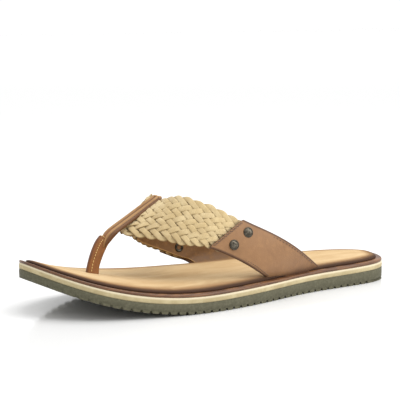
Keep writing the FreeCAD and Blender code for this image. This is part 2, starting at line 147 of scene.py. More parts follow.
class Finish:
    """One material: a Principled shader and the nodes that feed it."""

    def __init__(self, name, roughness=0.6, **constants):
        self.material = bpy.data.materials.new(name)
        self.material.use_nodes = True
        self.tree = self.material.node_tree
        self.shader = self.tree.nodes["Principled BSDF"]
        self.shader.inputs["Roughness"].default_value = roughness
        for socket, value in constants.items():
            self.shader.inputs[socket.replace("_", " ")].default_value = value
        self.place = self.node("ShaderNodeTexCoord", {}, {}, "Object")

    def node(self, kind, settings, values, output=0):
        """Adds a node: its settings first, then a number or a link for each socket."""
        made = self.tree.nodes.new(kind)
        for name, value in settings.items():
            setattr(made, name, value)
        for socket, value in values.items():
            if isinstance(value, Wire):
                self.tree.links.new(value.socket, made.inputs[socket])
            else:
                made.inputs[socket].default_value = value
        return Wire(self, made.outputs[output])

    def feed(self, socket, wire):
        self.tree.links.new(wire.socket, self.shader.inputs[socket])

    def mark(self, name):
        """A value that the mesh carries at each vertex."""
        return self.node("ShaderNodeAttribute", {"attribute_name": name}, {}, "Fac")

    def stretched(self, x, y, z):
        return self.node("ShaderNodeMapping", {}, {"Vector": self.place, "Scale": (x, y, z)})

    def noise(self, scale, detail=4.0, rough=0.55, where=None, distortion=0.0):
        values = {"Vector": where or self.place, "Scale": scale, "Detail": detail,
                  "Roughness": rough, "Distortion": distortion}
        return self.node("ShaderNodeTexNoise", {}, values)

    def cells(self, scale):
        return self.node("ShaderNodeTexVoronoi", {}, {"Vector": self.place, "Scale": scale})

    def spread(self, wire, low, high, to_low=0.0, to_high=1.0):
        """Remaps low..high smoothly to to_low..to_high."""
        return self.node(
            "ShaderNodeMapRange", {"interpolation_type": "SMOOTHSTEP"},
            {"Value": wire, "From Min": low, "From Max": high, "To Min": to_low, "To Max": to_high})

    def mix(self, share, first, second):
        """Colour between first and second. The numbers are the Mix node's colour sockets."""
        return self.node("ShaderNodeMix", {"data_type": "RGBA"}, {0: share, 6: first, 7: second}, 2)

    def bump(self, height, strength, distance):
        normal = self.node("ShaderNodeBump", {},
                           {"Height": height, "Strength": strength, "Distance": distance})
        self.feed("Normal", normal)


PORES = 2600.0
MOTTLE = 0.45


def leather(name, light, base, dark, edge, edge_colour, rough=0.55, streak=(1, 1, 1), nap=0.0):
    """Mottled leather with its own colour within edge mm of a cut: the piece marks how far, and on
    the strip and the patch that mark also paints shade.
    """
    f = Finish(name, rough, Specular_IOR_Level=0.35, Sheen_Weight=nap, Sheen_Roughness=0.6)
    where = f.stretched(*streak)
    cloud = f.noise(38, 5, 0.6, where, 0.4)
    fleck = f.noise(240, 4, 0.65, where)
    tone = f.mix(f.spread(cloud, 0.3, 0.6, 1.0 - MOTTLE, 1.0), dark, base)
    tone = f.mix(f.spread(fleck, 0.45, 0.75) * MOTTLE, tone, light)
    pores = f.noise(PORES, 3, 0.6)
    tone = f.mix(f.spread(pores, 0.5, 0.8) * 0.25, tone, dark)
    rim = f.spread(f.mark("edge") + cloud * 0.8, 0.35, 0.5 + edge, 1.0, 0.0)
    tone = f.mix(rim * 0.85, tone, edge_colour)
    f.feed("Base Color", tone)
    f.feed("Roughness", f.spread(fleck, 0.3, 0.8, rough - 0.08, rough + 0.12))
    f.bump(pores * 0.5 + f.cells(PORES * 0.35) * 0.5 + fleck * 0.8, 0.35, 0.0003)
    return f.material


def footbed_finish():
    """Tan nubuck, streaked lengthwise, turning nearly black-brown towards the rolled edge."""
    f = Finish("footbed_nubuck", 0.8, Specular_IOR_Level=0.16)
    long_way = f.stretched(1, 3.2, 3)
    streaks = f.noise(20, 5, 0.58, long_way, 1.1)
    threads = f.noise(160, 5, 0.7, f.stretched(1, 6, 2), 0.3)
    cloud = f.noise(17, 4, 0.6)
    pores = f.noise(2400, 3, 0.6)
    tone = f.mix(f.spread(streaks, 0.3, 0.72), colour(180, 150, 108), colour(196, 169, 128))
    tone = f.mix(f.spread(threads, 0.42, 0.7) * 0.2, tone, colour(160, 126, 84))
    tone = f.mix(f.spread(cloud, 0.45, 0.75) * 0.4, tone, colour(206, 182, 142))
    rim = f.mark("edge")
    warm = f.spread(rim + streaks * 9, 11.5, 24.0, 1.0, 0.0)
    # Nearly black-brown band along the rolled edge.
    edge_dark = f.spread(rim + streaks * 3, 6.4, 11.5, 1.0, 0.0)
    tone = f.mix(warm * 0.8, tone, colour(130, 92, 54))
    tone = f.mix(edge_dark * 0.95, tone, colour(54, 35, 26))
    f.feed("Base Color", tone)
    f.feed("Roughness", f.spread(threads, 0.3, 0.7, 0.72, 0.88))
    f.bump(threads * 0.9 + pores * 0.35 + streaks * 0.8, 0.4, 0.0004)
    return f.material


def board_finish():
    """Brown leatherboard in thin layers, waxed and burnished at its edge."""
    f = Finish("burnished_board_edge", 0.42, Specular_IOR_Level=0.4)
    layers = f.noise(60, 3, 0.5, f.stretched(1, 1, 60))
    blot = f.noise(90, 4, 0.6)
    tone = f.mix(f.spread(layers, 0.4, 0.65), colour(82, 52, 32), colour(120, 82, 50))
    tone = f.mix(f.spread(blot, 0.5, 0.8) * 0.5, tone, colour(60, 38, 26))
    f.feed("Base Color", tone)
    f.bump(layers + blot, 0.3, 0.0002)
    return f.material


def midsole_finish():
    """Cream foam with a fine closed-cell skin, a painted highlight along its top, and darker towards
    the bottom.
    """
    f = Finish("cream_foam", 0.7, Specular_IOR_Level=0.3)
    skin = f.cells(1500)
    blot = f.noise(120, 4, 0.6)
    tone = f.mix(f.spread(blot, 0.35, 0.7), colour(170, 154, 116), colour(188, 174, 136))
    # Painted highlight along the top of the side wall.
    tone = f.mix(f.spread(f.mark("height"), 2.4, 3.6) * 0.8, tone, colour(216, 204, 176))
    tone = f.mix(f.spread(f.mark("height"), 0.0, 0.7, 1.0, 0.0) * 0.6, tone, colour(128, 116, 88))
    f.feed("Base Color", tone)
    f.bump(skin + blot * 0.6, 0.3, 0.0002)
    return f.material


def rubber_finish():
    """Olive grey crepe rubber, speckled and finely cut."""
    f = Finish("crepe_rubber", 0.78, Specular_IOR_Level=0.3)
    specks = f.noise(520, 4, 0.7)
    crumbs = f.cells(620)
    cuts = f.noise(300, 3, 0.6, f.stretched(1, 1, 2.6), 0.6)
    tone = f.mix(f.spread(specks, 0.38, 0.66), colour(84, 82, 64), colour(98, 95, 76))
    tone = f.mix(f.spread(crumbs, 0.3, 0.7) * 0.3, tone, colour(76, 73, 57))
    tone = f.mix(f.spread(cuts, 0.58, 0.75) * 0.3, tone, colour(134, 129, 108))
    f.feed("Base Color", tone)
    f.bump(specks * 0.6 + crumbs * 0.6 + cuts, 0.4, 0.0003)
    return f.material


def braid_finish():
    """Cotton tape: fine yarns along each tape, with painted shade where it dives under its
    neighbours, on each tape's underside and along its sides.
    """
    f = Finish("cotton_tape", 0.85, Specular_IOR_Level=0.2, Sheen_Weight=0.25, Sheen_Roughness=0.5)
    across = f.mark("across")
    run = f.mark("run")
    yarn = (across * 17 + f.noise(500, 2, 0.5) * 1.6).math("SINE", across * 17 + run * 0.9)
    weave = (run * 7).math("SINE", run * 7 + across * 3)
    blot = f.noise(130, 4, 0.6)
    tone = f.mix(f.spread(blot, 0.35, 0.7), colour(186, 164, 122), colour(206, 186, 144))
    tone = f.mix(f.mark("tint") * 0.5, tone, colour(192, 168, 120))
    # Painted shade where the tape dives under its neighbours and on its underside.
    tone = f.mix(f.spread(f.mark("lift"), -0.9, 0.3, 1.0, 0.0) * 0.92, tone, colour(104, 80, 40))
    # Painted shade along each tape's sides, next to the gaps between tapes.
    rim = f.spread(across * across, 0.62, 1.0)
    tone = f.mix(rim * 0.7, tone, colour(122, 98, 54))
    f.feed("Base Color", tone)
    f.bump(yarn * 0.5 + weave * 0.25 + blot * 0.8, 0.45, 0.0003)
    return f.material


def metal_finish():
    """Antique brass: dull, with dark in its hollows and a rubbed crown."""
    f = Finish("antique_brass", 0.38, Metallic=0.9)
    blot = f.noise(700, 4, 0.6)
    tone = f.mix(f.spread(blot, 0.35, 0.7), colour(66, 61, 52), colour(112, 106, 94))
    tone = f.mix(f.spread(f.mark("edge"), 0.0, 1.0, 1.0, 0.0) * 0.8, tone, colour(30, 26, 22))
    f.feed("Base Color", tone)
    f.feed("Roughness", f.spread(blot, 0.3, 0.7, 0.28, 0.5))
    f.bump(blot, 0.2, 0.0002)
    return f.material


def thread_finish(name, light, dark):
    """Fine twisted yarn."""
    f = Finish(name, 0.6, Sheen_Weight=0.2)
    twist = f.noise(1800, 2, 0.5, f.stretched(1, 2.5, 1))
    f.feed("Base Color", f.mix(f.spread(twist, 0.4, 0.6), dark, light))
    f.bump(twist, 0.5, 0.0002)
    return f.material


RUBBER = rubber_finish()
FOAM = midsole_finish()
BOARD = board_finish()
NUBUCK = footbed_finish()
COTTON = braid_finish()
BRASS = metal_finish()
PATCH_LEATHER = leather(
    "waxed_nubuck", colour(158, 118, 80), colour(140, 102, 66), colour(112, 78, 48),
    1.3, colour(70, 42, 24), nap=0.05)
# Its edge colour also serves as the painted shade in the strip's channel.
STRIP_LEATHER = leather(
    "strip_leather", colour(186, 148, 104), colour(160, 122, 78), colour(128, 88, 50),
    1.3, colour(84, 48, 24), streak=(1.4, 6, 1.4))
POST_LEATHER = leather(
    "post_leather", colour(160, 108, 58), colour(132, 84, 42), colour(98, 58, 28),
    0.8, colour(92, 50, 24), rough=0.5)
LINING_LEATHER = leather(
    "lining_leather", colour(138, 98, 50), colour(102, 68, 29), colour(78, 50, 20),
    0.7, colour(170, 132, 82))
DARK_THREAD = thread_finish("dark_thread", colour(96, 66, 40), colour(58, 38, 24))
LIGHT_THREAD = thread_finish("light_thread", colour(232, 202, 132), colour(196, 156, 88))
WEBBING = thread_finish("webbing_tape", colour(110, 92, 70), colour(70, 56, 42))
PLASTIC = thread_finish("anchor_plastic", colour(52, 50, 48), colour(34, 33, 32))

# ---------------------------------------------------------------- sole shape
HALF_LENGTH, HALF_WIDTH = 145.5, 55.0
HEEL_RUBBER, TOE_RUBBER = 9.4, 5.9
# Heights of the layers above the rubber.
MIDSOLE_TOP, BOARD_TOP, FOOTBED_THICK = 4.3, 6.3, 2.6
TOE_SPRING, SPRING_START, SPRING_POWER = 24.4, 24.0, 2.48
TREAD_PITCH, TREAD_DEPTH, HEEL_BLOCK = 6.3, 1.6, 30.0
FOOTBED_INSET = 4.6
# The edge from the heel round the little-toe side, in half lengths and half widths.
OUTLINE = [
    (-1.000, -0.016), (-0.947, 0.350), (-0.819, 0.535), (-0.638, 0.592), (-0.382, 0.665),
    (-0.111, 0.845), (0.165, 0.980), (0.390, 0.979), (0.600, 0.872), (0.781, 0.691),
    (0.905, 0.410), (0.986, 0.044), (1.000, -0.194), (0.967, -0.421), (0.857, -0.692),
    (0.666, -0.925), (0.447, -0.988), (0.190, -0.885), (-0.101, -0.735), (-0.382, -0.678),
    (-0.648, -0.632), (-0.840, -0.486), (-0.952, -0.283),
]


def outline_points(count):
    """The sole's edge as evenly spaced points, with the direction that points outward."""
    size = np.array([HALF_LENGTH, HALF_WIDTH])
    knots = np.array(OUTLINE) * size
    wrapped = np.concatenate([knots[-4:], knots, knots[:5]])
    fine = spline(wrapped, np.linspace(4, 4 + len(knots), 4001))
    travel = np.concatenate([[0], np.cumsum(np.linalg.norm(np.diff(fine, axis=0), axis=1))])
    even = np.linspace(0, travel[-1], count, endpoint=False)
    points = np.stack([np.interp(even, travel, fine[:, i]) for i in (0, 1)], 1)
    along = unit(np.roll(points, -1, 0) - np.roll(points, 1, 0))
    return points, np.stack([-along[:, 1], along[:, 0]], 1)


EDGE, OUTWARD = outline_points(420)
toe_index = int(np.argmax(EDGE[:, 0]))
LITTLE_SIDE = EDGE[:toe_index + 1]
BIG_SIDE = EDGE[toe_index:][::-1]


def edge_y(x, side):
    """Where the sole's edge is at x, on the little-toe side (1) or the big-toe side (-1)."""
    half = LITTLE_SIDE if side > 0 else BIG_SIDE
    return np.interp(x, half[:, 0], half[:, 1])


def ground(x):
    """Height of the sole's underside: flat, then rising to the toe."""
    reach = np.maximum(0.0, np.asarray(x, float) - SPRING_START) / (HALF_LENGTH - SPRING_START)
    return TOE_SPRING * reach ** SPRING_POWER


def level(x, above):
    """Height of a layer that lies a given way above the rubber, which thins to the toe."""
    share = (np.asarray(x, float) + HALF_LENGTH) / (2 * HALF_LENGTH)
    return ground(x) + HEEL_RUBBER + (TOE_RUBBER - HEEL_RUBBER) * share + above


FILL_START = 9.0
FILL_STEPS = (0.12, 0.26, 0.42, 0.58, 0.74, 0.88, 1.0)
FILL_REACH = 40.0
MIDDLE_FROM_HEEL, MIDDLE_FROM_TOE = 36, 44


def ring(inset, fill):
    """One turn round the sole: moved in by inset, then a share of the way to its middle line."""
    points = EDGE - OUTWARD * inset
    middle_x = np.clip(EDGE[:, 0], -HALF_LENGTH + MIDDLE_FROM_HEEL, HALF_LENGTH - MIDDLE_FROM_TOE)
    middle = np.stack([middle_x, (edge_y(middle_x, 1) + edge_y(middle_x, -1)) / 2], 1)
    return points + (middle - points) * fill


def puck(name, lower, rim, upper, finish, slot):
    """Closed sole layer. lower and upper give z from x, y and the distance from the edge; rim lists
    (inset, height) up the side."""
    rows, heights, edges = [], [], []

    def add(inset, fill, z_of, height, lift=0.0):
        flat = ring(inset, fill)
        from_edge = inset + fill * FILL_REACH
        rows.append(np.column_stack([flat, z_of(flat[:, 0], flat[:, 1], from_edge) + lift]))
        heights.append(np.full(len(flat), height))
        edges.append(np.full(len(flat), from_edge))

    for fill in (*reversed(FILL_STEPS), 0.0):
        add(FILL_START, fill, lower, rim[0][1])
    for inset, height in rim:
        add(inset, 0.0, lower, height, height)
    for fill in (0.0, *FILL_STEPS):
        add(FILL_START, fill, upper, rim[-1][1])
    build = Builder("edge", "height")
    build.loft(np.array(rows)[:, ::-1], caps=False, edge=np.array(edges)[:, ::-1],
               height=np.array(heights)[:, ::-1])
    return fix_normals(build.make(name, finish, slot))


def flexing(piece, *nodes):
    """A piece of the sole: hides the CAD nodes it replaces and bakes in its placement."""
    if nodes:
        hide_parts(*nodes)
    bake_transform(piece)


def face(above):
    """The plain face of a layer, for puck."""
    return lambda x, y, from_edge: level(x, above)


def tread_root(x):
    return ground(x) + TREAD_DEPTH


def make_outsole():
    tall = HEEL_RUBBER - TREAD_DEPTH
    rim = [(0.5, 0.0), (0.05, 0.5), (-0.05, tall * 0.5), (0.0, tall - 0.5), (0.25, tall)]
    rows = []
    for fill in reversed(FILL_STEPS):
        flat = ring(FILL_START, fill)
        rows.append(np.column_stack([flat, tread_root(flat[:, 0])]))
    for inset, height in rim:
        flat = ring(inset, 0)
        x = flat[:, 0]
        share = (level(x, 0) - ground(x) - TREAD_DEPTH) / tall
        rows.append(np.column_stack([flat, tread_root(x) + height * share]))
    for fill in (0.0, *FILL_STEPS):
        flat = ring(FILL_START, fill)
        rows.append(np.column_stack([flat, level(flat[:, 0], 0)]))
    build = Builder()
    build.loft(np.array(rows)[:, ::-1], caps=False)
    piece = fix_normals(build.make("outsole", RUBBER, "sole_rubber"))
    flexing(piece, "outsole_rear", "outsole_front")


TREAD_OVERLAP = 0.3


def rib(build, xs, flare):
    """One cross rib of the tread: as wide as the sole, its long sides sloping."""
    xs = np.array(xs)
    tops = xs.copy()
    tops[0] -= flare
    tops[-1] += flare
    shares = np.linspace(0, 1, 13)

    def row(x, z_of, inset):
        x = np.clip(x, -HALF_LENGTH + 0.6, HALF_LENGTH - 0.6)
        low, high = edge_y(x, -1) + inset, edge_y(x, 1) - inset
        y = low + (high - low) * shares
        return np.column_stack([np.full(len(y), x), y, np.full(len(y), z_of(x))])

    under = [row(x, ground, 0.15) for x in xs]
    above = [row(x, lambda v: tread_root(v) + TREAD_OVERLAP, 0.1) for x in tops[::-1]]
    build.loft(np.array(under + above).transpose(1, 0, 2))


def make_tread():
    """A plain block under the heel, then even ribs to the toe."""
    build = Builder()
    heel_end = -HALF_LENGTH + HEEL_BLOCK
    rib(build, np.linspace(-HALF_LENGTH + 0.8, heel_end - 0.4, 26), 0.3)
    half = TREAD_PITCH * 0.3
    x = heel_end + TREAD_PITCH * 2 / 3
    while x + half < HALF_LENGTH - 1:
        rib(build, (x - half, x, x + half), 0.7)
        x += TREAD_PITCH
    flexing(fix_normals(build.make("outsole_tread", RUBBER, "sole_rubber", smooth=False)))


def make_midsole():
    rim = [(0.45, 0.0), (0.1, 0.25), (-0.05, 1.2), (0.0, 3.2), (0.15, 3.9), (0.5, MIDSOLE_TOP)]
    piece = puck("midsole", face(0), rim, face(MIDSOLE_TOP), FOAM, "midsole_foam")
    flexing(piece, "midsole_rear", "midsole_front")


def make_board():
    """Its rim stands 0.55 higher than its middle, which lies hidden under the footbed."""
    thick = BOARD_TOP - MIDSOLE_TOP
    rim = [(0.6, 0.0), (0.25, 0.2), (0.15, 0.9), (0.3, 1.6), (0.9, thick), (2.2, thick + 0.05),
           (6.9, thick + 0.05)]
    piece = puck("insole_board", face(MIDSOLE_TOP), rim, face(BOARD_TOP - 0.5), BOARD,
                 "board_leather")
    flexing(piece, "insole_board_rear", "insole_board_front")


def footbed_top(x, y, from_edge):
    """Gently crowned, with a shallow seat for the heel and the ball."""
    heel = np.exp(-(((x + 95) / 38) ** 2 + (y / 24) ** 2))
    ball = np.exp(-(((x - 55) / 40) ** 2 + ((y + 4) / 36) ** 2))
    crown = smooth_step(from_edge, 5, 24)
    return level(x, BOARD_TOP) + FOOTBED_THICK + 0.9 * crown - 1.2 * heel - 0.9 * ball


def make_footbed():
    base = FOOTBED_INSET
    rim = [(base + 1.2, -0.5), (base + 0.3, 0.0), (base, 0.5), (base + 0.2, 1.1),
           (base + 0.9, 1.7), (base + 2.2, 2.2), (base + 4.2, FOOTBED_THICK)]
    piece = puck("footbed", face(BOARD_TOP), rim, footbed_top, NUBUCK, "footbed_leather")
    flexing(piece, "footbed_cover_rear", "footbed_cover_front", "footbed_foam_rear",
            "footbed_foam_front")


# ---------------------------------------------------------------- strap surfaces
STRAP_GAP = 7.2
STRAP_FOOT = {"lateral": (-75.5, -23.5), "medial": (-50.0, -7.0)}
SIDE_SIGN = {"lateral": 1, "medial": -1}
# Front and rear edge of each strap, at stations 0, 1, 2 and so on from the centre strip down.
STATIONS = {
    "lateral": [
        ((70.8, -13.6, 47.8), (39.8, -13.2, 68.5)), ((55.8, 7, 45.5), (34.3, 5, 74)),
        ((45.8, 20, 43.5), (25.8, 18, 72)), ((37.8, 28, 42), (13.8, 28, 66)),
        ((25.3, 34, 40.6), (-1.2, 34, 57)), ((2.8, 39.5, 30), (-21.2, 38.5, 47)),
        ((-10.6, 42, 21.5), (-44.2, 38.5, 34.2)),
    ],
    "medial": [
        ((69.8, -14.6, 47.6), (39.3, -14.4, 68.5)), ((56.8, -23, 43), (36.8, -21, 71.5)),
        ((47.8, -30, 38), (29.8, -29, 68)), ((36.8, -35.5, 33), (15.8, -36, 59)),
        ((21.8, -38, 27), (-4.2, -39.5, 45)), ((8.8, -38.7, 21.5), (-21.2, -40, 36)),
        ((0.8, -38, 18.3), (-37.2, -38, 25)),
    ],
}
LINING_START, PATCH_START, TUCK_END, FOOT_STATION = 1.6, 4.0, 5.2, 7.0
BRAID_THICK, PATCH_THICK, LINING_THICK = 3.4, 2.0, 0.8
PATCH_PROUD, LINING_DEPTH = 0.55, BRAID_THICK + 0.35
RIVET_STATION, RIVET_PLACES = 4.47, (0.28, 0.75)
# The straps' faces are arched across, most near the centre strip, and the medial one swells there.
ARCH, ARCH_AT_STRIP, ARCH_FADE = 1.1, 1.6, 1.3
SHOULDER, SHOULDER_STATION, SHOULDER_SPREAD = 3.0, 0.75, 0.5
NEAR = 0.02


def strap_edges(side):
    """The strap's two edges, from the centre strip to where they enter the sole."""
    sign = SIDE_SIGN[side]
    foot = []
    for x in reversed(STRAP_FOOT[side]):
        foot.append((x, edge_y(x, sign) - sign * STRAP_GAP, level(x, BOARD_TOP) - 1.0))
    stations = STATIONS[side] + [tuple(foot)]
    return np.array([s[0] for s in stations]), np.array([s[1] for s in stations])


def strap_points(side, station, across, depth):
    """Points of a strap: station down its length, across from front to rear, depth under its face.
    The three may be arrays of one shape."""
    station, across, depth = np.broadcast_arrays(
        np.asarray(station, float), np.asarray(across, float), np.asarray(depth, float))
    shape = station.shape
    flat = station.ravel()
    front_knots, rear_knots = strap_edges(side)
    front, rear = spline(front_knots, flat), spline(rear_knots, flat)
    along = np.zeros_like(front)
    for knots in (front_knots, rear_knots):
        along = along + unit(spline(knots, flat + NEAR) - spline(knots, flat - NEAR))
    outward = unit(np.cross(along, rear - front)) * SIDE_SIGN[side]
    share = across.ravel()[:, None]
    arch = np.sin(np.pi * np.clip(share, 0, 1))
    crown = arch * (ARCH + ARCH_AT_STRIP * np.exp(-ARCH_FADE * flat))[:, None]
    if side == "medial":
        swell = np.exp(-((flat - SHOULDER_STATION) / SHOULDER_SPREAD) ** 2)
        crown = crown + (SHOULDER * swell)[:, None]
    points = front + (rear - front) * share + outward * (crown - depth.ravel()[:, None])
    return points.reshape(*shape, 3), outward.reshape(*shape, 3)


def strap_width(side, station):
    front_knots, rear_knots = strap_edges(side)
    return np.linalg.norm(spline(rear_knots, station) - spline(front_knots, station), axis=1)


def strap_lengths(side, start, end, count=200):
    """Stations and the distance travelled down the strap's middle between two stations."""
    stations = np.linspace(start, end, count)
    middle = strap_points(side, stations, 0.5, 0)[0]
    steps = np.linalg.norm(np.diff(middle, axis=0), axis=1)
    return stations, np.concatenate([[0], np.cumsum(steps)])


def swinging(piece, *nodes):
    """A piece of the thong, rooted in the sole: hides the CAD nodes it replaces and bakes in its
    placement.
    """
    if nodes:
        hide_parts(*nodes)
    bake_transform(piece)


# ---------------------------------------------------------------- braid
STRANDS = 15
TAPE_PITCH = 7.8
TAPE_HALF, TAPE_THICK = 2.05, 0.68
BRAID_AMPLITUDE = 0.66
EDGE_TURN = 0.045
TAPE_STEP = 0.55
TUCK_DEPTH = 0.9


def zigzag(phase):
    """Place of a strand across the braid, 0 to STRANDS and back, and which way it heads."""
    turn = np.mod(phase, 2 * STRANDS)
    back = turn > STRANDS
    return np.where(back, 2 * STRANDS - turn, turn), np.where(back, -1.0, 1.0)


def tape_height(place, heading):
    """Over two, under two, and round the braid's edge from below to above."""
    inner = np.clip(place, 1, STRANDS - 1)
    wave = np.cos(np.pi * (inner - 1.5) / 2)
    squared = np.clip(wave * 1.5, -1, 1)
    near_edge = np.clip(np.minimum(place, STRANDS - place), 0, 1)
    lift = -heading * squared * near_edge
    return np.convolve(np.pad(lift, 2, mode="edge"), np.ones(5) / 5, mode="valid")


def blunt(wave, power):
    """Squares off a sine or cosine, for sections that are flat with rounded corners."""
    return np.sign(wave) * np.abs(wave) ** power


def make_braid(side):
    stations, travel = strap_lengths(side, 0.0, TUCK_END)
    patch_at = np.interp(PATCH_START, stations, travel)
    build = Builder("across", "run", "lift", "tint")
    rng = np.random.default_rng(7 if side == "lateral" else 8)
    angles = np.linspace(0, 2 * np.pi, 14, endpoint=False)
    wide, tall = blunt(np.cos(angles), 0.5), blunt(np.sin(angles), 0.65)
    u = np.arange(0, travel[-1] + 0.4, TAPE_STEP)
    station = np.interp(u, travel, stations)
    tucked = smooth_step(u, patch_at - 3.0, patch_at + 0.5)
    for strand in range(STRANDS):
        phase = u / (TAPE_PITCH / 2) - 2 * strand + 0.6
        place = np.mean([zigzag(phase + o)[0] for o in np.linspace(-0.45, 0.45, 7)], axis=0)
        lift = tape_height(*zigzag(phase))
        wander = 0.12 * np.sin(u * 0.21 + rng.uniform(0, 6.3))
        across = EDGE_TURN + (1 - 2 * EDGE_TURN) * (place + wander) / STRANDS
        depth = BRAID_THICK / 2 - BRAID_AMPLITUDE * lift * (1 - 0.5 * tucked) + TUCK_DEPTH * tucked
        depth = depth + 0.35 * smooth_step(-np.minimum(place, STRANDS - place), -1.0, 0.0)
        centre, outward = strap_points(side, station, across, depth)
        tangent = unit(np.gradient(centre, axis=0))
        aside = unit(np.cross(outward, tangent))
        normal = unit(np.cross(tangent, aside))
        half = TAPE_HALF * (1 + 0.04 * np.sin(u * 0.9 + strand))
        thick = TAPE_THICK * (1 - 0.3 * tucked)
        loops = centre[:, None] + aside[:, None] * (half[:, None] * wide)[..., None] \
            + normal[:, None] * (thick[:, None] * tall)[..., None]
        # The lift mark is lower on each tape's underside and where the tape dives under; it drives
        # the painted shade.
        build.loft(loops, across=np.broadcast_to(wide, loops.shape[:2]), run=u[:, None],
                   lift=(lift[:, None] + 0.4 * tall), tint=rng.uniform(0, 1))
    piece = fix_normals(build.make(f"{side}_braid", COTTON, "braid_cotton"))
    swinging(piece, f"{side}_woven_strap")


# ---------------------------------------------------------------- leather sheets on the straps
def sheet_loops(side, stations, depth, thick, inset, corner=0.0, columns=26):
    """Sections of a leather sheet: its face, its rounded rear edge, its back and its front edge.
    corner is the radius of its upper corners; also gives each point's distance from a cut, shortened
    towards the foot, which on the patch paints shade where it meets the sole."""
    rows, edges = [], []
    start_travel = strap_lengths(side, stations[0], stations[-1], len(stations))[1]
    for station, travelled in zip(stations, start_travel):
        width = strap_width(side, np.array([station]))[0]
        short = 1 - min(1, travelled / max(corner, 1e-6))
        nip = corner * (1 - math.sqrt(max(0.0, 1 - short ** 2)))
        low, high = (inset + nip) / width, 1 - (inset + nip) / width
        full = thick(travelled)
        top = depth(station)
        shares = low + (high - low) * (0.5 - 0.5 * np.cos(np.linspace(0, np.pi, columns)))
        turn = np.linspace(0, np.pi, 5)[1:-1]
        round_depth = top + full / 2 * (1 - np.cos(turn))
        bulge = full / 2 * np.sin(turn) / width
        across = np.concatenate([shares, high + bulge, shares[::-1], low - bulge[::-1]])
        deep = np.concatenate([np.full(columns, top), round_depth, np.full(columns, top + full),
                               round_depth[::-1]])
        rows.append(strap_points(side, station, across, deep)[0])
        to_side = np.minimum(across - low, high - across) * width
        # Shortened towards the foot: on the patch this paints shade where it meets the sole.
        to_foot = (start_travel[-1] - travelled) * 0.12
        edges.append(np.clip(np.minimum(to_side, travelled), 0, to_foot))
    return np.array(rows), np.array(edges)


def make_patch(side):
    stations = np.concatenate([[PATCH_START, PATCH_START + 0.008, PATCH_START + 0.02],
                               np.linspace(PATCH_START + 0.05, FOOT_STATION, 60)])

    def depth(station):
        return -PATCH_PROUD * (1 - smooth_step(station, TUCK_END - 0.5, TUCK_END + 0.8))

    def thick(travelled):
        return PATCH_THICK * (0.55 + 0.45 * min(1.0, travelled / 0.4))

    loops, edges = sheet_loops(side, stations, depth, thick, 0.0, corner=3.0)
    build = Builder("edge")
    build.loft(loops, edge=edges)
    piece = fix_normals(build.make(f"{side}_patch", PATCH_LEATHER, "patch_leather"))
    swinging(piece, f"{side}_side_patch")


def make_lining(side):
    stations = np.linspace(LINING_START, FOOT_STATION, 90)

    def depth(station):
        return LINING_DEPTH - 1.4 * smooth_step(station, TUCK_END, 6.6)

    loops, edges = sheet_loops(side, stations, depth, lambda travelled: LINING_THICK, 1.6)
    build = Builder("edge")
    build.loft(loops, edge=edges)
    piece = fix_normals(build.make(f"{side}_lining", LINING_LEATHER, "lining_leather"))
    swinging(piece, f"{side}_strap_lining")


# ---------------------------------------------------------------- rivets and thread
ROUND = 40
CAP_LIFT = 0.45


def turned_loops(profile, centre, outward):
    """Turns (radius, height) points about the outward axis through centre."""
    outward = unit(np.asarray(outward, float))
    first = unit(np.cross(outward, [0.3, 0.1, 0.95]))
    second = np.cross(outward, first)
    angles = np.linspace(0, 2 * np.pi, ROUND, endpoint=False)
    spin = np.cos(angles)[:, None] * first + np.sin(angles)[:, None] * second
    return np.array([centre + outward * z + spin * r for r, z in profile])


# Radius and height of the domed cap with its groove, and of the ring behind the lining.
CAP_PROFILE = [
    (0.01, 0.0), (3.3, 0.0), (3.6, 0.15), (3.65, 0.42), (3.5, 0.68), (3.2, 0.72), (3.0, 0.6),
    (2.85, 0.74), (2.5, 1.1), (1.9, 1.42), (1.1, 1.56), (0.55, 1.5), (0.01, 1.46),
]
BACK_PROFILE = [
    (3.6, 0.3), (3.7, -0.1), (3.5, -0.55), (3.0, -0.85), (2.4, -0.8), (1.8, -0.35), (1.4, 0.4),
    (1.4, 1.4), (2.5, 1.4), (3.6, 0.3),
]


def make_rivets(side):
    caps, backs = Builder("edge"), Builder("edge")
    radii = np.array([radius for radius, _ in CAP_PROFILE])
    groove = np.where(np.abs(radii - 3.0) < 0.2, 0.25, 1)
    rim = np.clip(3.9 - radii, 0, 4) * groove
    seat = LINING_DEPTH + LINING_THICK
    for place in RIVET_PLACES:
        centre, outward = strap_points(side, RIVET_STATION, place, -CAP_LIFT)
        caps.loft(turned_loops(CAP_PROFILE, centre, outward), edge=rim[:, None])
        inner, _ = strap_points(side, RIVET_STATION, place, seat)
        backs.loft(turned_loops(BACK_PROFILE, inner, outward), caps=False, edge=0.35)
    cap = fix_normals(caps.make(f"{side}_rivet_domes", BRASS, "rivet_brass"))
    back = fix_normals(backs.make(f"{side}_rivet_rings", BRASS, "rivet_brass"))
    swinging(cap, f"{side}_rivet_caps")
    swinging(back, f"{side}_rivet_backs")


def add_stitch(build, start, end, radius):
    """One thread pull between two needle holes, sunk at both ends."""
    start, end = np.asarray(start, float), np.asarray(end, float)
    run = unit(end - start)
    first = unit(np.cross(run, [0.21, 0.35, 0.9]))
    second = np.cross(run, first)
    angles = np.linspace(0, 2 * np.pi, 8, endpoint=False)
    loop = np.cos(angles)[:, None] * first + np.sin(angles)[:, None] * second
    shares = (0.0, 0.08, 0.3, 0.5, 0.7, 0.92, 1.0)
    sizes = (0.25, 0.7, 1.0, 1.05, 1.0, 0.7, 0.25)
    build.loft([start + (end - start) * s + loop * radius * w for s, w in zip(shares, sizes)])


HOLE_SHARES = (0.15, 0.85)


